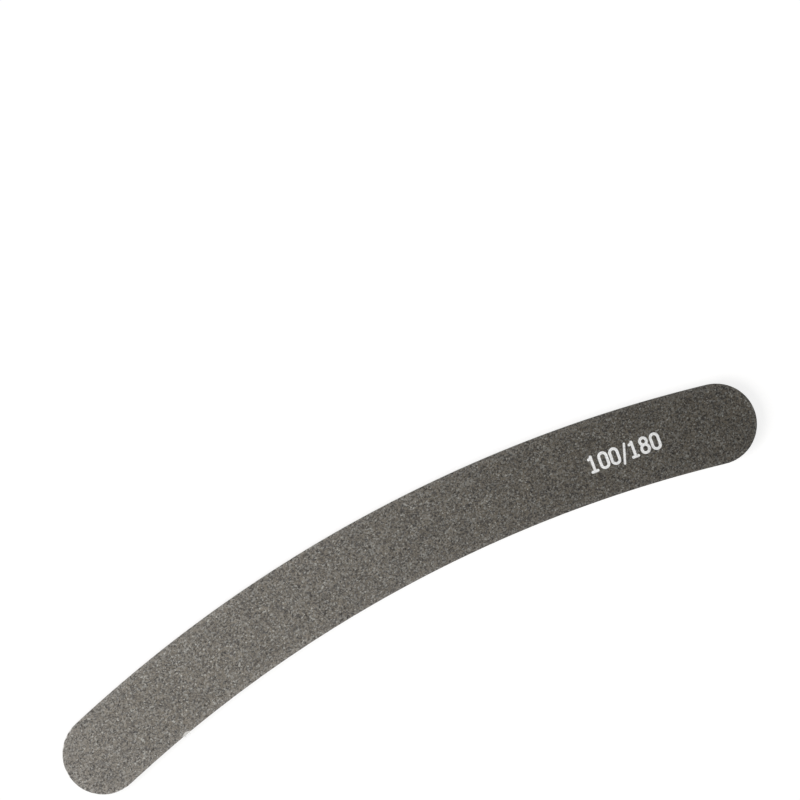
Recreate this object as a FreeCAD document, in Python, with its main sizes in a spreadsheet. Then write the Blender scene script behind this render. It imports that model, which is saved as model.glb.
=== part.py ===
"""A curved emery board: a crescent-shaped nail file laminated from thin sheets.

The board lies flat, +Z up, with its length along X and its convex edge towards +Y. The origin is at the
middle of its underside. A stiff plastic core carries a foam layer on each side, and each foam layer carries a
sheet of abrasive paper: the coarse grade on top, the fine grade underneath. Glue films join the sheets. Each
abrasive sheet is a backing paper, a bond coat of resin and a coat of grit. The whole stack is die-cut in one
stroke, so every sheet has the same outline: a band of even width along an arc, with fully rounded ends. The
foam springs back from the cut, so its edge is slightly hollow between the harder sheets.

Lengths are in millimetres.
"""

import FreeCAD
import Part
import Sketcher

import enum
import math
import os

PARTS_FOLDER = "parts"
SHEET = "Sizes"

# The driving dimensions: alias in the sheet, value in millimetres, what it measures.
DRIVING_SIZES = [
    ("overall_length", 178.0, "tip to tip, along the chord"),
    ("band_width", 18.6, "across the band, the same all along it"),
    ("curve_radius", 314.0, "radius of the arc that the middle of the band follows"),
    ("core_thickness", 0.8, "polystyrene sheet in the middle"),
    ("foam_thickness", 1.0, "each foam layer"),
    ("foam_draw_in", 0.1, "depth of the hollow in a foam layer's cut edge"),
    ("glue_thickness", 0.08, "each glue film"),
    ("paper_thickness", 0.25, "backing paper of each abrasive sheet"),
    ("bond_thickness", 0.06, "resin coat that the grit is set in"),
    ("coarse_grit_height", 0.16, "grit standing out of the bond coat, coarse face"),
    ("fine_grit_height", 0.09, "grit standing out of the bond coat, fine face"),
]

# The laminate from the underside up: the sub-part's label and the size that is its thickness.
LAYERS = [
    ("fine_grit_coat", "fine_grit_height"),
    ("fine_bond_coat", "bond_thickness"),
    ("fine_backing_paper", "paper_thickness"),
    ("fine_paper_glue", "glue_thickness"),
    ("fine_foam_layer", "foam_thickness"),
    ("fine_core_glue", "glue_thickness"),
    ("core_board", "core_thickness"),
    ("coarse_core_glue", "glue_thickness"),
    ("coarse_foam_layer", "foam_thickness"),
    ("coarse_paper_glue", "glue_thickness"),
    ("coarse_backing_paper", "paper_thickness"),
    ("coarse_bond_coat", "bond_thickness"),
    ("coarse_grit_coat", "coarse_grit_height"),
]
FOAM_LAYERS = ("fine_foam_layer", "coarse_foam_layer")

UPWARDS = FreeCAD.Vector(0, 0, 1)
# How a sketch constraint names a point of an arc, the sketch's own axes and its origin.
Point = enum.IntEnum("Point", "START END CENTRE")
Axis = enum.IntEnum("Axis", "VERTICAL HORIZONTAL", start=-2)
ORIGIN = (Axis.HORIZONTAL, Point.START)


def cell(alias):
    """The name of a size, as an expression reads it."""
    return f"{SHEET}.{alias}"


def add_sizes(doc):
    """The sheet of driving dimensions: what each measures, then its value under its alias."""
    sheet = doc.addObject("Spreadsheet::Sheet", SHEET)
    for row, (alias, value, meaning) in enumerate(DRIVING_SIZES, start=1):
        sheet.set(f"A{row}", meaning)
        sheet.set(f"B{row}", str(value))
        sheet.setAlias(f"B{row}", alias)
    doc.recompute()
    return sheet


def origin_plane(body, role):
    """One of a body's own origin planes."""
    return next(plane for plane in body.Origin.OriginFeatures if plane.Role == role)


def add_dimension(sketch, name, constraint, formula):
    """A named dimension of a sketch, bound to a formula of the driving sizes."""
    index = sketch.addConstraint(constraint)
    sketch.renameConstraint(index, name)
    sketch.setExpression(f"Constraints.{name}", formula)


def add_outline(body, sheet):
    """The band's outline: two concentric arcs along its edges and a round end tangent to both at each side.

    The middle of the outline's box is the sketch's origin, so the arcs' centre lies below it by the mean of
    the radius and the depth of the end centres under that centre.
    """
    half_width = sheet.band_width / 2
    half_chord = sheet.overall_length / 2 - half_width
    half_angle = math.asin(half_chord / sheet.curve_radius)
    end_depth = sheet.curve_radius * math.cos(half_angle)
    arc_centre = FreeCAD.Vector(0, -(sheet.curve_radius + end_depth) / 2, 0)
    upright = math.pi / 2

    sketch = body.newObject("Sketcher::SketchObject", f"{body.Label}_outline")
    sketch.AttachmentSupport = [(origin_plane(body, "XY_Plane"), "")]
    sketch.MapMode = "FlatFace"

    def arc(centre, radius, start, end):
        circle = Part.Circle(centre, UPWARDS, radius)
        return sketch.addGeometry(Part.ArcOfCircle(circle, start, end), False)

    def end_centre(side):
        return arc_centre + FreeCAD.Vector(side * half_chord, end_depth, 0)

    right, left = upright - half_angle, upright + half_angle
    outer_edge = arc(arc_centre, sheet.curve_radius + half_width, right, left)
    inner_edge = arc(arc_centre, sheet.curve_radius - half_width, right, left)
    right_end = arc(end_centre(1), half_width, right - math.pi, right)
    left_end = arc(end_centre(-1), half_width, left, left + math.pi)

    sketch.addConstraint([
        Sketcher.Constraint("Tangent", right_end, Point.END, outer_edge, Point.START),
        Sketcher.Constraint("Tangent", right_end, Point.START, inner_edge, Point.START),
        Sketcher.Constraint("Tangent", left_end, Point.START, outer_edge, Point.END),
        Sketcher.Constraint("Tangent", left_end, Point.END, inner_edge, Point.END),
        Sketcher.Constraint("Coincident", inner_edge, Point.CENTRE, outer_edge, Point.CENTRE),
        Sketcher.Constraint("PointOnObject", outer_edge, Point.CENTRE, Axis.VERTICAL),
    ])

    radius, width, length = cell("curve_radius"), cell("band_width"), cell("overall_length")
    chord_formula = f"({length} - {width}) / 2"
    depth_formula = f"({radius} + sqrt({radius} ^ 2 - ({chord_formula}) ^ 2)) / 2"
    add_dimension(sketch, "outer_radius",
                  Sketcher.Constraint("Radius", outer_edge, sheet.curve_radius + half_width),
                  f"{radius} + {width} / 2")
    add_dimension(sketch, "inner_radius",
                  Sketcher.Constraint("Radius", inner_edge, sheet.curve_radius - half_width),
                  f"{radius} - {width} / 2")
    add_dimension(sketch, "centre_depth",
                  Sketcher.Constraint("DistanceY", outer_edge, Point.CENTRE, *ORIGIN, -arc_centre.y),
                  depth_formula)
    add_dimension(sketch, "right_reach",
                  Sketcher.Constraint("DistanceX", *ORIGIN, right_end, Point.CENTRE, half_chord),
                  chord_formula)
    add_dimension(sketch, "left_reach",
                  Sketcher.Constraint("DistanceX", left_end, Point.CENTRE, *ORIGIN, half_chord),
                  chord_formula)
    return sketch


def draw_in_edge(doc, body, outline, sheet):
    """Hollows the edge of a foam layer: a round tool run along the whole outline, half way up the layer.

    The tool meets the layer's upper and lower rims and cuts to the set depth between them. Its section stands
    square to the outline's first edge, where x points away from the band and y points up.
    """
    thickness, depth = sheet.foam_thickness, sheet.foam_draw_in
    tool_radius = (thickness ** 2 / 4 + depth ** 2) / (2 * depth)
    doc.recompute()
    section = body.newObject("Sketcher::SketchObject", f"{body.Label}_edge_section")
    section.AttachmentSupport = [(outline, "Edge1")]
    section.MapMode = "NormalToEdge"

    tool_centre = FreeCAD.Vector(tool_radius - depth, thickness / 2, 0)
    tool = section.addGeometry(Part.Circle(tool_centre, UPWARDS, tool_radius), False)
    thickness_cell, depth_cell = cell("foam_thickness"), cell("foam_draw_in")
    radius_formula = f"({thickness_cell} ^ 2 / 4 + {depth_cell} ^ 2) / (2 * {depth_cell})"
    add_dimension(section, "tool_radius", Sketcher.Constraint("Radius", tool, tool_radius), radius_formula)
    add_dimension(section, "tool_offset",
                  Sketcher.Constraint("DistanceX", *ORIGIN, tool, Point.CENTRE, tool_centre.x),
                  f"{radius_formula} - {depth_cell}")
    add_dimension(section, "tool_height",
                  Sketcher.Constraint("DistanceY", *ORIGIN, tool, Point.CENTRE, tool_centre.y),
                  f"{thickness_cell} / 2")

    hollow = body.newObject("PartDesign::SubtractivePipe", f"{body.Label}_drawn_in_edge")
    hollow.Profile = section
    hollow.Spine = (outline, [""])


def add_layer(doc, sheet, label, thickness, below):
    """One sheet of the laminate: the outline padded to its thickness, lying on the layers below it."""
    body = doc.addObject("PartDesign::Body", label)
    body.Label = label
    outline = add_outline(body, sheet)
    pad = body.newObject("PartDesign::Pad", f"{label}_sheet")
    pad.Profile = outline
    pad.setExpression("Length", cell(thickness))
    if label in FOAM_LAYERS:
        draw_in_edge(doc, body, outline, sheet)
    if below:
        body.setExpression("Placement.Base.z", " + ".join(cell(alias) for alias in below))
    return body


def check(doc, layers):
    """Stops the build if an object failed, or a sheet of the laminate isn't one valid solid."""
    for item in doc.Objects:
        if "Invalid" in item.State or "Error" in item.State:
            raise RuntimeError(f"{item.Label} failed: {item.State}")
    for body in layers:
        shape = body.Shape
        if shape.isNull() or not shape.isValid() or len(shape.Solids) != 1:
            raise RuntimeError(f"{body.Label} isn't one valid solid")
        full_sheet = next(item for item in body.Group if item.isDerivedFrom("PartDesign::Pad")).Shape
        if body.Label in FOAM_LAYERS and shape.Volume >= full_sheet.Volume:
            raise RuntimeError(f"the edge of {body.Label} isn't drawn in")


def main():
    doc = FreeCAD.newDocument("emery_board")
    sheet = add_sizes(doc)
    layers = []
    below = []
    for label, thickness in LAYERS:
        layers.append(add_layer(doc, sheet, label, thickness, below))
        below.append(thickness)
    doc.recompute()
    check(doc, layers)
    os.makedirs(PARTS_FOLDER, exist_ok=True)
    for body in layers:
        body.Shape.exportStep(os.path.join(PARTS_FOLDER, f"{body.Label}.step"))
        print(f"{body.Label}: {body.Placement.Base.z:.2f} above the underside, {body.Shape.Volume:.1f} mm3")


main()
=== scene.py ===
"""The looks of a curved emery board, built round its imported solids.

The board lies flat with its coarse face up. Lengths are in metres. A point of the board is given by how
far it lies along the band's middle line from the crown, and how far across it towards the convex edge.
"""

import math
from collections import namedtuple

import bpy
import numpy as np
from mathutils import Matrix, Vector
from mathutils.bvhtree import BVHTree


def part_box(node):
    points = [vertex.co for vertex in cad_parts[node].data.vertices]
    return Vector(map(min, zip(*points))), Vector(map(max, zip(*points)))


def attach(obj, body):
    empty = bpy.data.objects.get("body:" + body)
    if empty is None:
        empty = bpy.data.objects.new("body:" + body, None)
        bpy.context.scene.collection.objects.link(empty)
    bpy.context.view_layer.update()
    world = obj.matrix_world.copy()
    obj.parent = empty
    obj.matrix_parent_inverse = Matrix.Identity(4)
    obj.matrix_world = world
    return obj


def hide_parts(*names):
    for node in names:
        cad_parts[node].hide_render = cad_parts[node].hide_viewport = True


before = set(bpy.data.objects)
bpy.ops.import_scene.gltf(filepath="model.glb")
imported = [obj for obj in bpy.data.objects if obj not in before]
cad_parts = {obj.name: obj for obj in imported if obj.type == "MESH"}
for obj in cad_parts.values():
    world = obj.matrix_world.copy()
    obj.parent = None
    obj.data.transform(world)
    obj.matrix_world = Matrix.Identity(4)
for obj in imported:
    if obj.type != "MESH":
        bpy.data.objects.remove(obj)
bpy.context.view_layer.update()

MM = 0.001

# The outline's driving sizes, as the solids have them.
OVERALL_LENGTH = 178 * MM
BAND_WIDTH = 18.6 * MM
CURVE_RADIUS = 314 * MM

HALF_WIDTH = BAND_WIDTH / 2
HALF_CHORD = OVERALL_LENGTH / 2 - HALF_WIDTH
HALF_ANGLE = math.asin(HALF_CHORD / CURVE_RADIUS)
HALF_RUN = CURVE_RADIUS * HALF_ANGLE
HALF_SPAN = HALF_RUN + HALF_WIDTH
ARC_CENTRE_Y = -CURVE_RADIUS * (1 + math.cos(HALF_ANGLE)) / 2

# Once round the outline is four turns, one for each side, in this order.
TURNS = 4
CONVEX_EDGE, RIGHT_END, CONCAVE_EDGE, LEFT_END = range(TURNS)
RIGHT_TIP = RIGHT_END + 0.5
LEFT_TIP = LEFT_END + 0.5

# A nick in the concave edge of the coarse sheet, near the left end, with paper fibres standing out of it.
NICK_ALONG = -63.0 * MM
NICK_LENGTH = 2.4 * MM
NICK_DEPTH = 0.6 * MM

# How far from the rim the points of the coarse face still give way to a chip in it.
CHIP_REACH = 2.5 * MM

# The printed grade: where its middle lies on the board, how it is turned, and its strokes.
PRINT_X, PRINT_Y = 58.0 * MM, -0.87 * MM
PRINT_ANGLE = math.radians(-8.0)
DIGIT_HEIGHT = 4.15 * MM
DIGIT_WIDTH = 2.4 * MM
DIGIT_ADVANCE = 2.66 * MM
GROUP_OFFSET = 4.95 * MM
STROKE = 0.66 * MM
SLASH_STROKE = 0.55 * MM
LINE_HEIGHT = DIGIT_HEIGHT - STROKE
LINE_WIDTH = DIGIT_WIDTH - STROKE


# The outline

def loop_places(turn, inset):
    """Places of points, along and across the band, by their turn and their distance inside the outline."""
    side = np.floor(turn).astype(int) % TURNS
    part = turn - np.floor(turn)
    half = HALF_WIDTH - inset
    run = HALF_RUN * (2 * part - 1)
    swing = np.pi * part
    reach = HALF_RUN + half * np.sin(swing)
    rise = half * np.cos(swing)
    along = np.choose(side, np.broadcast_arrays(run, reach, -run, -reach))
    across = np.choose(side, np.broadcast_arrays(half, rise, -half, -rise))
    return along, across


def bend(along, across):
    """Bends the straightened band onto its arc: x and y of points given along and across it."""
    middle = np.clip(along, -HALF_RUN, HALF_RUN)
    beyond = along - middle
    angle = middle / CURVE_RADIUS
    radius = CURVE_RADIUS + across
    x = radius * np.sin(angle) + beyond * np.cos(angle)
    y = ARC_CENTRE_Y + radius * np.cos(angle) - beyond * np.sin(angle)
    return x, y


def loop_turns(inset, pitch):
    """Turns of evenly spaced points on the loop at an inset, and the step between them at each point."""
    runs = max(2, round(2 * HALF_RUN / pitch))
    swings = max(2, round(math.pi * (HALF_WIDTH - inset) / pitch))
    counts = (runs, swings, runs, swings)
    turns = np.concatenate([side + np.arange(count) / count for side, count in enumerate(counts)])
    steps = np.concatenate([np.full(count, 1 / count) for count in counts])
    return turns, steps


Chip = namedtuple("Chip", "turn length depth")


def draw_chips():
    """Chips that the die broke off the coarse sheet's rim.

    Small ones lie all round it and deeper ones at the left end, and the nick is the last.
    """
    # Of each kind: how many there are, the turns they lie on, and their lengths and depths in millimetres.
    small = (90, (CONVEX_EDGE, TURNS), (0.3, 1.0), (0.03, 0.1))
    deep = (14, (LEFT_END, TURNS), (0.5, 1.6), (0.1, 0.28))
    seed = 21
    rng = np.random.default_rng(seed)
    chips = []
    for count, turns, lengths, depths in (small, deep):
        for _ in range(count):
            turn = rng.uniform(*turns)
            length = rng.uniform(*lengths) * MM
            chips.append(Chip(turn, length, rng.uniform(*depths) * MM))
    nick_turn = CONCAVE_EDGE + (1 - NICK_ALONG / HALF_RUN) / 2
    return chips + [Chip(nick_turn, NICK_LENGTH, NICK_DEPTH)]


CHIPS = draw_chips()


def chipped(turn, inset):
    """Draws the insets of points near the chips further in, most at the rim and less towards the middle."""
    side = np.floor(turn).astype(int) % TURNS
    on_end = np.isin(side, (RIGHT_END, LEFT_END))
    side_length = np.where(on_end, math.pi * HALF_WIDTH, 2 * HALF_RUN)
    depth = np.zeros(len(turn))
    for chip in CHIPS:
        away = np.abs(turn - chip.turn) * side_length
        beside = np.clip(1 - away / (chip.length / 2), 0, 1)
        depth = np.maximum(depth, chip.depth * np.sqrt(beside))
    return inset + depth * np.clip(1 - inset / CHIP_REACH, 0, 1)


# Mesh building

def closed_row(turns, ids):
    """A loop of points as a row that comes back to its first point, one time round later."""
    return [*turns, turns[0] + TURNS], [*ids, ids[0]]


def zip_rows(turns_a, ids_a, turns_b, ids_b):
    """Triangles between two rows of points: each step is taken on the row whose next point comes first."""
    triangles = []
    a = b = 0
    last_a, last_b = len(ids_a) - 1, len(ids_b) - 1
    while a < last_a or b < last_b:
        if b == last_b or (a < last_a and turns_a[a + 1] <= turns_b[b + 1]):
            triangles.append((ids_a[a], ids_b[b], ids_a[a + 1]))
            a += 1
        else:
            triangles.append((ids_a[a], ids_b[b], ids_b[b + 1]))
            b += 1
    return triangles


def fill_loop(turns, ids):
    """Triangles across the inside of a loop, from its convex half to its concave half, facing up."""
    wrapped = np.where(turns >= LEFT_TIP, turns - TURNS, turns)
    convex = wrapped < RIGHT_TIP
    mirrored = 2 * RIGHT_TIP - wrapped[~convex]
    upper, lower = np.argsort(wrapped[convex]), np.argsort(mirrored)
    triangles = zip_rows(wrapped[convex][upper], ids[convex][upper], mirrored[lower], ids[~convex][lower])
    return np.asarray(triangles)


def wall(upper, lower):
    """Triangles of the wall between two loops with as many points, facing out."""
    next_upper, next_lower = np.roll(upper, -1), np.roll(lower, -1)
    first = np.stack([upper, next_upper, next_lower], 1)
    second = np.stack([upper, next_lower, lower], 1)
    return np.concatenate([first, second])


def fan(ring):
    """Triangles across a small ring of points."""
    return np.stack([np.full(len(ring) - 2, ring[0]), ring[1:-1], ring[2:]], 1)


def add_piece(name, places, faces, material):
    """A mesh object that rides on the board."""
    mesh = bpy.data.meshes.new(name)
    mesh.from_pydata(places.tolist(), [], faces.tolist())
    mesh.materials.append(material)
    piece = bpy.data.objects.new(name, mesh)
    bpy.context.scene.collection.objects.link(piece)
    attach(piece, "root")
    return piece


def add_values(piece, name, values):
    """Stores one number for each vertex, for a material to read."""
    attribute = piece.data.attributes.new(name, "FLOAT", "POINT")
    attribute.data.foreach_set("value", values.astype(np.float32))


# The sheets of the laminate

def sheet_piece(name, node, material, rows, pitch, edge):
    """A closed sheet with the board's outline that stands for a node.

    rows is how many loops of points go up its cut edge. edge(turns, level) gives how far the points of one
    loop lie inside the outline, where level goes from 0 at the sheet's underside to 1 at its top.
    """
    low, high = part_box(node)
    turns, _ = loop_turns(0, pitch)
    places = []
    for level in np.linspace(0, 1, rows):
        x, y = bend(*loop_places(turns, edge(turns, level)))
        z = np.full(len(turns), low.z + level * (high.z - low.z))
        places.append(np.stack([x, y, z], 1))
    loops = np.arange(rows * len(turns)).reshape(rows, len(turns))
    faces = [fill_loop(turns, loops[-1]), fill_loop(turns, loops[0])[:, ::-1]]
    faces += [wall(upper, lower) for lower, upper in zip(loops, loops[1:])]
    piece = add_piece(name, np.concatenate(places), np.concatenate(faces), material)
    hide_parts(node)
    return piece


def foam_piece(name, node, material, seed):
    """A foam layer: its cut edge is drawn in between the harder sheets, and pitted where cells were cut."""
    draw_in, pit, pitch, rows = 0.1 * MM, 0.05 * MM, 0.11 * MM, 11
    rng = np.random.default_rng(seed)

    def edge(turns, level):
        hollow = draw_in * (1 - (2 * level - 1) ** 2)
        pits = pit * rng.random(len(turns)) ** 2 * (0 < level < 1)
        return hollow + pits

    piece = sheet_piece(name, node, material, rows, pitch, edge)
    return piece


def paper_piece(name, node, material, seed):
    """A backing paper, with the fine fuzz of torn fibres along its cut edge."""
    fuzz, pitch, rows = 0.03 * MM, 0.12 * MM, 4
    rng = np.random.default_rng(seed)

    def edge(turns, level):
        return fuzz * rng.random(len(turns)) ** 2

    return sheet_piece(name, node, material, rows, pitch, edge)


def bond_piece(name, node, material, seed, broken):
    """A bond coat of resin, cracked a little along its cut edge, and chipped there too if it is broken."""
    crack, pitch, rows = 0.02 * MM, 0.15 * MM, 2
    rng = np.random.default_rng(seed)

    def edge(turns, level):
        inset = crack * rng.random(len(turns))
        return chipped(turns, inset) if broken else inset

    return sheet_piece(name, node, material, rows, pitch, edge)


def core_piece(name, node, material, seed):
    """The stiff core: its edge is scored by the die, and rougher below, where the plastic broke."""
    scoring, breaking, rounding, pitch, rows = 0.012 * MM, 0.03 * MM, 0.05 * MM, 0.15 * MM, 8
    broken_below, rounded_above = 0.3, 0.85
    rng = np.random.default_rng(seed)
    points, _ = loop_turns(0, pitch)
    scores = scoring * rng.random(len(points))

    def edge(turns, level):
        rounded = rounding * max(0, (level - rounded_above) / (1 - rounded_above)) ** 2
        rough = breaking * rng.random(len(turns)) * (level < broken_below)
        return scores + rounded + rough

    return sheet_piece(name, node, material, rows, pitch, edge)


# The grit

# A ring of points on a grit coat. Heights are shares of the coat's own, and wear is how dusty a point is.
Ring = namedtuple("Ring", "turns along across heights wear")


def worn_share(along, inset, used):
    """How far grains are worn: most at the rim, and at the left end of a face that was used."""
    rim_share, rim_reach = 0.65, 0.8 * MM
    end_start, end_reach = 60 * MM, 30 * MM
    end = np.clip((-along - end_start) / end_reach, 0, 1)
    return rim_share * math.exp(-inset / rim_reach) + (1 - rim_share) * end * used


def grit_rings(pitch, seed, broken):
    """Rings of jittered points from the rim inwards: about half are grain tips, and the rest gaps."""
    ring_share, jitter, ragged = 0.87, 0.3, 0.05 * MM
    tip_share, tips, gaps, rim_loss = 0.5, (0.55, 1.0), (0.05, 0.4), 0.5
    ring_pitch = pitch * ring_share
    rng = np.random.default_rng(seed)
    rings = []
    for inset in np.arange(0, HALF_WIDTH - ring_pitch / 2, ring_pitch):
        turns, steps = loop_turns(inset, pitch)
        count = len(turns)
        turns = turns + steps * rng.uniform(-jitter, jitter, count) * (turns % 1 > 0)
        at_rim = not rings
        if at_rim:
            depth = ragged * rng.random(count)
        else:
            depth = inset + ring_pitch * rng.uniform(-jitter, jitter, count)
        if broken:
            depth = chipped(turns, depth)
        along, across = loop_places(turns, depth)
        is_tip = rng.random(count) < tip_share
        heights = np.where(is_tip, rng.uniform(*tips, count), rng.uniform(*gaps, count))
        if at_rim:
            heights = heights * rim_loss
        rings.append(Ring(turns, along, across, heights, worn_share(along, inset, broken)))
    return rings


def grit_faces(rings):
    """Triangles of a grit coat's face, back and rim. The last ring is the coat's foot, below the first."""
    counts = [len(ring.turns) for ring in rings]
    loops = np.split(np.arange(sum(counts)), np.cumsum(counts)[:-1])
    rows = [closed_row(ring.turns, loop) for ring, loop in zip(rings[:-1], loops)]
    face = [np.asarray(zip_rows(*outer, *inner)) for outer, inner in zip(rows, rows[1:])]
    face.append(fill_loop(rings[-2].turns, loops[-2]))
    back = fill_loop(rings[-1].turns, loops[-1])[:, ::-1]
    return np.concatenate(face), back, wall(loops[0], loops[-1])


def lay_out_grit(piece, points, face, back, rim):
    """A map of a grit coat for stored textures: its face in rows above each other, then its back and rim."""
    face_rows, face_top, margin = 3, 0.9, 0.01
    back_band, rim_band, rim_slack = (0.91, 0.97), (0.975, 1.0), 0.01
    kept = 1 - 2 * margin

    def shares(faces):
        along = (points.along[faces] + HALF_SPAN) / (2 * HALF_SPAN)
        across = 0.5 + points.across[faces] / BAND_WIDTH * kept
        return along, across

    along, across = shares(face)
    row = np.clip(np.floor(along.mean(1, keepdims=True) * face_rows), 0, face_rows - 1)
    face_map = (margin + (along * face_rows - row) * kept, (row + across) / face_rows * face_top)
    along, across = shares(back)
    back_map = (along, np.interp(across, (0, 1), back_band))
    turns = points.turns[rim]
    round_again = turns < turns.max(1, keepdims=True) - 1
    rim_map = ((turns + TURNS * round_again) / (TURNS + rim_slack),
               np.interp(points.heights[rim], (0, 1), rim_band))
    corners = np.concatenate([np.stack(part, 2) for part in (face_map, back_map, rim_map)])
    layer = piece.data.uv_layers.new(name="OFBake")
    layer.uv.foreach_set("vector", corners.astype(np.float32).ravel())


def grit_piece(name, node, material, outward, pitch, seed, broken):
    """A coat of grit, a closed skin over grain tips and gaps that faces up or down as outward is 1 or -1.

    A broken one is chipped along its rim and worn at its left end.
    """
    low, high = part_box(node)
    base = low.z if outward > 0 else high.z
    rings = grit_rings(pitch, seed, broken)
    foot = rings[0]._replace(heights=np.zeros(len(rings[0].turns)))
    rings.append(foot)
    # A coat that faces down has the corners of its faces in the opposite order.
    parts = [part[:, ::outward] for part in grit_faces(rings)]
    points = Ring(*(np.concatenate(values) for values in zip(*rings)))
    x, y = bend(points.along, points.across)
    z = base + outward * (high.z - low.z) * points.heights
    piece = add_piece(name, np.stack([x, y, z], 1), np.concatenate(parts), material)
    add_values(piece, "grain", points.heights)
    add_values(piece, "wear", points.wear)
    lay_out_grit(piece, points, *parts)
    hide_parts(node)
    return piece


# The printed grade

def from_segment(x, y, start, end):
    """Distance of points from a straight stroke's middle line."""
    run_x, run_y = end[0] - start[0], end[1] - start[1]
    share = ((x - start[0]) * run_x + (y - start[1]) * run_y) / (run_x ** 2 + run_y ** 2)
    share = np.clip(share, 0, 1)
    return np.hypot(x - start[0] - share * run_x, y - start[1] - share * run_y)


def from_ellipse(x, y, half_width, half_height):
    """Distance of points from an ellipse's line, near it."""
    smallest = 1e-6
    size = np.maximum(np.hypot(x / half_width, y / half_height), smallest)
    slope = np.hypot(x / half_width ** 2, y / half_height ** 2)
    return np.abs((size - 1) * size / np.maximum(slope, size / max(half_width, half_height)))


def zero(x, y):
    """An upright oval with straight sides."""
    straight = (LINE_HEIGHT - LINE_WIDTH) / 2
    middle = from_segment(x, y, (0, -straight), (0, straight))
    return np.abs(middle - LINE_WIDTH / 2) - STROKE / 2


def one(x, y):
    """A stem with a flag and a foot."""
    top, reach = LINE_HEIGHT / 2, LINE_WIDTH * 0.36
    flag_tip, flag_root = top * 0.72, top * 0.86
    stem = from_segment(x, y, (0, -top), (0, top))
    flag = from_segment(x, y, (-reach, flag_tip), (0, flag_root))
    foot = from_segment(x, y, (-reach, -top), (reach, -top))
    return np.minimum.reduce([stem, flag, foot]) - STROKE / 2


def eight(x, y):
    """Two ovals, the upper one smaller."""
    upper_width, upper_height = LINE_WIDTH * 0.44, LINE_HEIGHT * 0.23
    lower_width, lower_height = LINE_WIDTH * 0.5, LINE_HEIGHT * 0.27
    upper = from_ellipse(x, y - LINE_HEIGHT / 2 + upper_height, upper_width, upper_height)
    lower = from_ellipse(x, y + LINE_HEIGHT / 2 - lower_height, lower_width, lower_height)
    return np.minimum(upper, lower) - STROKE / 2


def slash(x, y):
    """A leaning stroke that goes below the foot of the digits."""
    lean, top, bottom = 0.65 * MM, LINE_HEIGHT * 0.55, -LINE_HEIGHT * 0.69
    return from_segment(x, y, (-lean, bottom), (lean, top)) - SLASH_STROKE / 2


GLYPHS = [
    (one, -GROUP_OFFSET - DIGIT_ADVANCE),
    (zero, -GROUP_OFFSET),
    (zero, -GROUP_OFFSET + DIGIT_ADVANCE),
    (slash, 0.0),
    (one, GROUP_OFFSET - DIGIT_ADVANCE),
    (eight, GROUP_OFFSET),
    (zero, GROUP_OFFSET + DIGIT_ADVANCE),
]


def from_ink(x, y):
    """Distance of points outside the inked numerals, negative inside them."""
    return np.minimum.reduce([glyph(x - middle, y) for glyph, middle in GLYPHS])


def ink_grid(cell):
    """A grid over the print: its corners, which cells are inked, and which corners those use.

    Corners on the numerals' edges are moved onto them, so that the outlines are smooth.
    """
    half_long = GROUP_OFFSET + 2 * DIGIT_ADVANCE
    half_high = DIGIT_HEIGHT * 0.75
    columns, rows = round(2 * half_long / cell), round(2 * half_high / cell)
    u, v = np.meshgrid(np.linspace(-half_long, half_long, columns + 1),
                       np.linspace(-half_high, half_high, rows + 1))
    inked = from_ink((u[:-1, :-1] + u[1:, 1:]) / 2, (v[:-1, :-1] + v[1:, 1:]) / 2) < 0
    padded = np.pad(inked, 1).astype(int)
    around = padded[:-1, :-1] + padded[1:, :-1] + padded[:-1, 1:] + padded[1:, 1:]
    all_round = 4
    edge = (around > 0) & (around < all_round)
    step = cell / 10
    slope_u = (from_ink(u + step, v) - from_ink(u - step, v)) / (2 * step)
    slope_v = (from_ink(u, v + step) - from_ink(u, v - step)) / (2 * step)
    away = from_ink(u, v) * edge
    return u - away * slope_u, v - away * slope_v, inked, around > 0


def film_faces(inked, used):
    """Faces of a film: its inked cells, the same below, and sides on the edges that only one cell uses."""
    count = used.sum()
    number = np.cumsum(used).reshape(used.shape) - 1
    corners = [number[:-1, :-1], number[:-1, 1:], number[1:, 1:], number[1:, :-1]]
    cells = np.stack([corner[inked] for corner in corners], 1)
    edges = np.stack([cells, np.roll(cells, -1, 1)], 2).reshape(-1, 2)
    known = set(map(tuple, edges.tolist()))
    start, end = np.array([edge for edge in edges.tolist() if (edge[1], edge[0]) not in known]).T
    sides = np.stack([end, start, start + count, end + count], 1)
    return np.concatenate([cells, cells[:, ::-1] + count, sides])


def heights_of(piece, x, y):
    """The heights at which upright lines through points first meet a piece from above."""
    above, down = 0.01, Vector((0, 0, -1))
    skin = BVHTree.FromObject(piece, bpy.context.evaluated_depsgraph_get())
    return np.array([skin.ray_cast(Vector((*place, above)), down)[0].z for place in zip(x, y)])


def ink_piece(grit, material):
    """The printed grade: a film of ink that lies over the grains and half fills the gaps between them."""
    cell, film, sunk, filled = 0.06 * MM, 0.02 * MM, 0.03 * MM, 0.5
    u, v, inked, used = ink_grid(cell)
    u, v = u[used], v[used]
    x = PRINT_X + u * math.cos(PRINT_ANGLE) - v * math.sin(PRINT_ANGLE)
    y = PRINT_Y + u * math.sin(PRINT_ANGLE) + v * math.cos(PRINT_ANGLE)
    ground = heights_of(grit, x, y)
    level = np.median(ground)
    top = np.maximum(ground + film / 2, ground + (level - ground) * filled + film)
    places = np.concatenate([np.stack([x, y, top], 1), np.stack([x, y, ground - sunk], 1)])
    return add_piece("printed_grade", places, film_faces(inked, used), material)


# The frayed nick

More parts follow.
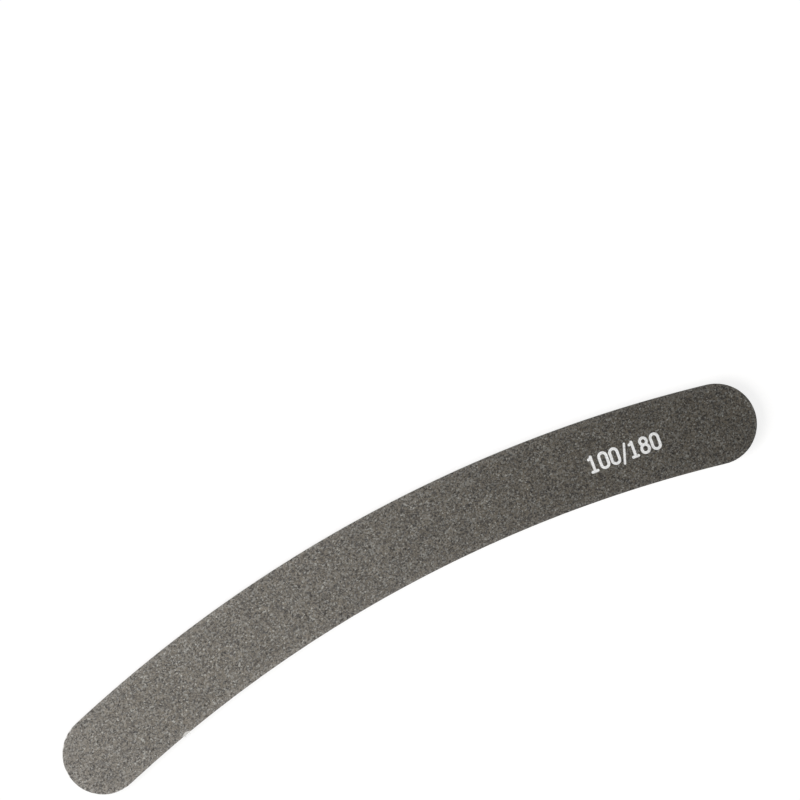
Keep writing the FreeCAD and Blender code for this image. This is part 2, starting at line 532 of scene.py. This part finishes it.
def fibre_piece(material):
    """Paper fibres that stand out of the nick in the coarse sheet's edge."""
    fibres, sides, joints, seed = 26, 4, 5, 11
    thick, taper, lengths = 0.028 * MM, 0.8, (0.35 * MM, 0.85 * MM)
    spread, roots = (-0.42, 0.42), (0.1, 0.7)
    leans, curls, rises = (-0.8, 0.8), (-1.2, 1.2), (-0.15, 0.3)
    low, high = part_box("coarse_backing_paper")
    share = np.linspace(0, 1, joints)[:, None]
    swing = 2 * np.pi * np.arange(sides) / sides
    radius = thick * (1 - taper * share)
    rng = np.random.default_rng(seed)
    places, faces = [], []
    for rings in np.arange(fibres * joints * sides).reshape(fibres, joints, sides):
        along = NICK_ALONG + NICK_LENGTH * rng.uniform(*spread)
        across = -HALF_WIDTH + NICK_DEPTH * rng.uniform(*roots)
        root_z = rng.uniform(low.z, high.z) + thick
        lean, curl, rise = rng.uniform(*leans), rng.uniform(*curls), rng.uniform(*rises)
        reach = rng.uniform(*lengths) * share
        angle = lean + curl * share
        x, y = bend(along + reach * np.sin(angle) + radius * np.cos(swing), across - reach * np.cos(angle))
        z = root_z + reach * rise + radius * np.sin(swing)
        places.append(np.stack([x, y, z], 2).reshape(-1, 3))
        faces += [wall(ring, further) for ring, further in zip(rings, rings[1:])]
        faces += [fan(rings[0])[:, ::-1], fan(rings[-1])]
    places, faces = np.concatenate(places), np.concatenate(faces)
    return add_piece("frayed_fibres", places, faces, material)


# Material nodes

def set_inputs(tree, node, inputs):
    """Sets a node's inputs by name or number, each to a value or to another node's output."""
    for key, value in inputs.items():
        if isinstance(value, bpy.types.NodeSocket):
            tree.links.new(value, node.inputs[key])
        else:
            node.inputs[key].default_value = value


def add_node(tree, kind, inputs, **settings):
    """Adds a node with its settings and its inputs."""
    node = tree.nodes.new(kind)
    for key, value in settings.items():
        setattr(node, key, value)
    set_inputs(tree, node, inputs)
    return node


def shader(name):
    """A new node material, its tree and its shader."""
    material = bpy.data.materials.new(name)
    material.use_nodes = True
    tree = material.node_tree
    return material, tree, tree.nodes["Principled BSDF"]


def object_place(tree):
    """The place on the object, in metres."""
    return add_node(tree, "ShaderNodeTexCoord", {}).outputs["Object"]


def scaled(tree, place, scale):
    """A place with its axes scaled."""
    return add_node(tree, "ShaderNodeMapping", {"Vector": place, "Scale": scale}).outputs["Vector"]


def stored_values(tree, name):
    """The numbers that a piece stores for its vertices under a name."""
    return add_node(tree, "ShaderNodeAttribute", {}, attribute_name=name).outputs["Fac"]


def noise(tree, place, size, detail):
    """Noise with features of about a given size."""
    inputs = {"Vector": place, "Scale": 1 / size, "Detail": detail}
    return add_node(tree, "ShaderNodeTexNoise", inputs).outputs["Fac"]


def cell_pattern(tree, place, size):
    """Cells of about a given size: outputs for the colour of each, and the distance from its middle."""
    return add_node(tree, "ShaderNodeTexVoronoi", {"Vector": place, "Scale": 1 / size}).outputs


def ramp(tree, factor, stops):
    """A colour ramp: stops are places with a grey or a colour each."""
    node = add_node(tree, "ShaderNodeValToRGB", {"Fac": factor})
    elements = node.color_ramp.elements
    while len(elements) < len(stops):
        elements.new(1.0)
    for element, (place, colour) in zip(elements, stops):
        element.position = place
        element.color = (*colour, 1) if isinstance(colour, tuple) else (colour, colour, colour, 1)
    return node.outputs["Color"]


def mixed(tree, factor, first, second, blend="MIX"):
    """One colour mixed with another."""
    # The node's colour sockets share their names with its other sockets, so they go by number.
    factor_in, first_in, second_in, colour_out = 0, 6, 7, 2
    inputs = {factor_in: factor, first_in: first, second_in: second}
    node = add_node(tree, "ShaderNodeMix", inputs, data_type="RGBA", blend_type=blend)
    return node.outputs[colour_out]


def bump(tree, height, strength, distance):
    """A normal with fine relief."""
    inputs = {"Height": height, "Strength": strength, "Distance": distance}
    return add_node(tree, "ShaderNodeBump", inputs).outputs["Normal"]


def maths(tree, operation, first, second):
    """What an operation makes of two numbers."""
    return add_node(tree, "ShaderNodeMath", {0: first, 1: second}, operation=operation).outputs[0]


# Materials

# Tones of the grains by the draw of each, and the tints that go with them.
# The brightest coarse grains, near neutral in tint, are partly painted glints: facets that catch the light.
COARSE_TONES_AND_GLINTS = [(0.06, 0.003), (0.25, 0.032), (0.5, 0.0625), (0.75, 0.0915), (0.92, 0.1185), (1.0, 0.215)]
FINE_TONES = [(0.0, 0.02), (0.4, 0.045), (0.8, 0.08), (1.0, 0.13)]
GRAIN_AND_GLINT_TINTS = [(0.0, (1.35, 1.0, 0.5)), (0.9, (1.0, 1.0, 0.92))]
# The gaps' colour: dark resin, painted much darker than the resin itself as shade in the gaps between
# grains.
GAP_RESIN_AND_SHADE = (0.006, 0.005, 0.004, 1)
DUST = (0.178, 0.17, 0.158, 1)


def grit_material(name, grain_size, tones, outward):
    """Mineral grains of many tones, each its own cell. The gaps between them show dark resin, painted darker
    still as shade.

    A thin size coat lies over the grains, so the face as a plane has a broad soft sheen.
    """
    cloud_size, clouds = 3 * MM, [(0.3, 0.85), (0.7, 1.15)]
    grain_over_shaded_gap = [(0.05, 0.0), (0.5, 1.0)]
    coat_by_height = [(0.08, 0.1), (0.35, 0.71)]
    dust_by_wear = [(0.0, 0.0), (1.0, 0.48)]
    roughness_by_draw = [(0.0, 0.35), (1.0, 0.75)]
    material, tree, principled = shader(name)
    place = object_place(tree)
    height, wear = stored_values(tree, "grain"), stored_values(tree, "wear")
    grain_colour = cell_pattern(tree, place, grain_size)["Color"]
    draws = add_node(tree, "ShaderNodeSeparateColor", {"Color": grain_colour}).outputs
    tone, tint = ramp(tree, draws["Red"], tones), ramp(tree, draws["Red"], GRAIN_AND_GLINT_TINTS)
    cloud = ramp(tree, noise(tree, place, cloud_size, detail=2), clouds)
    grain = mixed(tree, 1.0, mixed(tree, 1.0, tone, tint, "MULTIPLY"), cloud, "MULTIPLY")
    dusty = mixed(tree, ramp(tree, wear, dust_by_wear), grain, DUST)
    relief = noise(tree, place, grain_size / 3, detail=2)
    upright = add_node(tree, "ShaderNodeVectorTransform", {0: (0, 0, outward)}, vector_type="NORMAL",
                       convert_from="OBJECT", convert_to="WORLD")
    set_inputs(tree, principled, {
        # The gaps between the grains show resin darkened by painted shade.
        "Base Color": mixed(tree, ramp(tree, height, grain_over_shaded_gap), GAP_RESIN_AND_SHADE, dusty),
        "Roughness": ramp(tree, draws["Blue"], roughness_by_draw),
        "Specular IOR Level": 0.1,
        "Coat Weight": ramp(tree, height, coat_by_height),
        "Coat Roughness": 0.5,
        "Coat Normal": upright.outputs[0],
        "Normal": bump(tree, relief, strength=0.4, distance=grain_size / 4),
    })
    return material


def paper_material():
    """Off-white paper, with fibres of slightly different tones lying along its plane."""
    tones = [(0.3, (0.28, 0.28, 0.27)), (0.7, (0.48, 0.48, 0.47))]
    fibre_size, flattened = 0.12 * MM, (1, 1, 4)
    material, tree, principled = shader("paper_fibres")
    fibres = noise(tree, scaled(tree, object_place(tree), flattened), fibre_size, detail=4)
    set_inputs(tree, principled, {
        "Base Color": ramp(tree, fibres, tones),
        "Roughness": 0.9,
        "Normal": bump(tree, fibres, strength=0.6, distance=0.03 * MM),
    })
    return material


def foam_material():
    """White closed-cell foam, with the hollows of the cut cells painted a little darker than their walls, as
    shade.
    """
    tones = [(0.15, (0.66, 0.66, 0.65)), (0.6, (0.86, 0.86, 0.85))]
    cell_size = 0.16 * MM
    material, tree, principled = shader("foam_cells")
    from_middle = cell_pattern(tree, object_place(tree), cell_size)["Distance"]
    set_inputs(tree, principled, {
        # The cut cells' hollows are darkened with painted shade.
        "Base Color": ramp(tree, from_middle, tones),
        "Roughness": 0.85,
        "Normal": bump(tree, from_middle, strength=0.7, distance=0.05 * MM),
    })
    return material


def core_material():
    """White polystyrene, satin, with fine upright marks of the die on its edge."""
    tones = [(0.3, (0.74, 0.74, 0.72)), (0.7, (0.86, 0.86, 0.84))]
    roughness = [(0.3, 0.5), (0.7, 0.32)]
    mark_size, drawn_out = 0.2 * MM, (1, 1, 0.05)
    material, tree, principled = shader("core_plastic_cut")
    marks = noise(tree, scaled(tree, object_place(tree), drawn_out), mark_size, detail=3)
    set_inputs(tree, principled, {
        "Base Color": ramp(tree, marks, tones),
        "Roughness": ramp(tree, marks, roughness),
        "Normal": bump(tree, marks, strength=0.4, distance=0.03 * MM),
    })
    return material


def glue_material():
    """A film of set glue, yellowish and glossy, thicker in some places than in others."""
    tones = [(0.3, (0.52, 0.49, 0.40)), (0.7, (0.70, 0.68, 0.60))]
    patch_size = 1.5 * MM
    material, tree, principled = shader("glue_film")
    patches = noise(tree, object_place(tree), patch_size, detail=3)
    set_inputs(tree, principled, {
        "Base Color": ramp(tree, patches, tones),
        "Roughness": 0.25,
        "Normal": bump(tree, patches, strength=0.3, distance=0.04 * MM),
    })
    return material


def resin_material():
    """Dark bond resin, glossy in patches."""
    tones = [(0.3, (0.03, 0.028, 0.025)), (0.7, (0.07, 0.063, 0.055))]
    roughness = [(0.3, 0.2), (0.7, 0.5)]
    patch_size = 0.3 * MM
    material, tree, principled = shader("bond_resin_dark")
    patches = noise(tree, object_place(tree), patch_size, detail=3)
    set_inputs(tree, principled, {
        "Base Color": ramp(tree, patches, tones),
        "Roughness": ramp(tree, patches, roughness),
    })
    return material


def ink_material():
    """White printing ink, with thinner and greyer patches."""
    tones = [(0.25, (0.60, 0.61, 0.615)), (0.55, (0.855, 0.87, 0.88))]
    patch_size = 0.25 * MM
    material, tree, principled = shader("white_ink")
    patches = noise(tree, object_place(tree), patch_size, detail=3)
    set_inputs(tree, principled, {
        "Base Color": ramp(tree, patches, tones),
        "Roughness": 0.6,
        "Normal": bump(tree, patches, strength=0.3, distance=0.03 * MM),
    })
    return material


# The stage

WHITE = (1, 1, 1, 1)
LAMP_X = -0.155


def seen_directly(tree):
    """One for rays that show a surface to the camera, straight or through gloss or glass, or else zero."""
    rays = add_node(tree, "ShaderNodeLightPath", {}).outputs
    seen = maths(tree, "MAXIMUM", rays["Is Camera Ray"], rays["Is Glossy Ray"])
    return maths(tree, "MAXIMUM", seen, rays["Is Transmission Ray"])


def floor_material():
    """A pale floor that lights the board from below, and shows white with a faint shadow where it is seen.

    What is seen of it is darker towards the lamp's foot, so that it shows the lamp's light evenly.
    """
    pale, glow = (0.6, 0.6, 0.6, 1), 0.78
    # Tones by distance from the foot, as a share of the reach. The light falls off faster across the lamp.
    reach, faster_across = 0.6, 1.2
    shaded = [(0.0, 0.137), (0.1, 0.149), (0.2, 0.183), (0.3, 0.253),
              (0.4, 0.36), (0.5, 0.493), (0.667, 0.678), (1.0, 0.85)]
    material, tree, principled = shader("white_floor")
    place = scaled(tree, object_place(tree), (1 / reach, faster_across / reach, 0))
    ends = {0: place, 1: (LAMP_X / reach, 0, 0)}
    from_lamp = add_node(tree, "ShaderNodeVectorMath", ends, operation="DISTANCE").outputs["Value"]
    seen = seen_directly(tree)
    set_inputs(tree, principled, {
        "Base Color": mixed(tree, seen, pale, ramp(tree, from_lamp, shaded)),
        "Roughness": 0.9,
        "Specular IOR Level": 0.0,
        "Emission Color": WHITE,
        "Emission Strength": maths(tree, "MULTIPLY", seen, glow),
    })
    return material


def add_floor():
    """The floor that the board lies on."""
    reach = 3.0
    corners = [(-reach, -reach, 0), (reach, -reach, 0), (reach, reach, 0), (-reach, reach, 0)]
    mesh = bpy.data.meshes.new("floor")
    mesh.from_pydata(corners, [], [(0, 1, 2, 3)])
    mesh.materials.append(floor_material())
    floor = bpy.data.objects.new("floor", mesh)
    bpy.context.scene.collection.objects.link(floor)


def add_world():
    """A plain even surround: white where it is seen, softer where it lights the board."""
    light_strength = 0.28
    world = bpy.data.worlds.new("surround")
    world.use_nodes = True
    tree = world.node_tree
    light = tree.nodes["Background"]
    set_inputs(tree, light, {"Color": WHITE, "Strength": light_strength})
    white = add_node(tree, "ShaderNodeBackground", {"Color": WHITE, "Strength": 1.0})
    shown = {0: seen_directly(tree), 1: light.outputs[0], 2: white.outputs[0]}
    both = add_node(tree, "ShaderNodeMixShader", shown)
    set_inputs(tree, tree.nodes["World Output"], {"Surface": both.outputs[0]})
    bpy.context.scene.world = world


def add_softbox():
    """A soft strip light above the board's left end."""
    lamp = bpy.data.lights.new("softbox", "AREA")
    lamp.shape = "RECTANGLE"
    lamp.size = 0.33
    lamp.size_y = 0.12
    lamp.energy = 0.69
    lamp.color = (1.0, 0.97, 0.945)
    holder = bpy.data.objects.new("softbox", lamp)
    holder.location = (LAMP_X, 0.0, 0.165)
    holder.visible_camera = False
    bpy.context.scene.collection.objects.link(holder)


def add_camera():
    """A long lens straight above, turned so that the board rises to the right."""
    frame_width, above, sensor = 183.1 * MM, 1.0, 36.0
    middle_x, middle_y, turn = 18.53 * MM, 34.03 * MM, math.radians(-28.2585)
    camera = bpy.data.cameras.new("camera")
    camera.sensor_width = sensor
    camera.lens = sensor * above / frame_width
    holder = bpy.data.objects.new("camera", camera)
    holder.location = (middle_x, middle_y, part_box("coarse_grit_coat")[1].z + above)
    holder.rotation_euler = (0, 0, turn)
    bpy.context.scene.collection.objects.link(holder)
    bpy.context.scene.camera = holder


# Assembly

coarse_grains = grit_material("coarse_grit_grains", 0.33 * MM, COARSE_TONES_AND_GLINTS, outward=1)
fine_grains = grit_material("fine_grit_grains", 0.14 * MM, FINE_TONES, outward=-1)
paper = paper_material()
foam = foam_material()
resin = resin_material()
glue = glue_material()

coarse_face = grit_piece("coarse_grit", "coarse_grit_coat", coarse_grains,
                         outward=1, pitch=0.23 * MM, seed=1, broken=True)
grit_piece("fine_grit", "fine_grit_coat", fine_grains,
           outward=-1, pitch=0.21 * MM, seed=2, broken=False)
bond_piece("coarse_bond", "coarse_bond_coat", resin, seed=3, broken=True)
bond_piece("fine_bond", "fine_bond_coat", resin, seed=4, broken=False)
paper_piece("coarse_paper", "coarse_backing_paper", paper, seed=5)
paper_piece("fine_paper", "fine_backing_paper", paper, seed=6)
foam_piece("coarse_foam", "coarse_foam_layer", foam, seed=7)
foam_piece("fine_foam", "fine_foam_layer", foam, seed=8)
core_piece("core", "core_board", core_material(), seed=9)
fibre_piece(paper)
ink_piece(coarse_face, ink_material())

# The glue films keep the solids' shapes.
for node in ("coarse_paper_glue", "coarse_core_glue", "fine_core_glue", "fine_paper_glue"):
    for material_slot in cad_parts[node].material_slots:
        material_slot.material = glue

add_floor()
add_world()
add_softbox()
add_camera()
bpy.context.scene.view_settings.view_transform = "Standard"
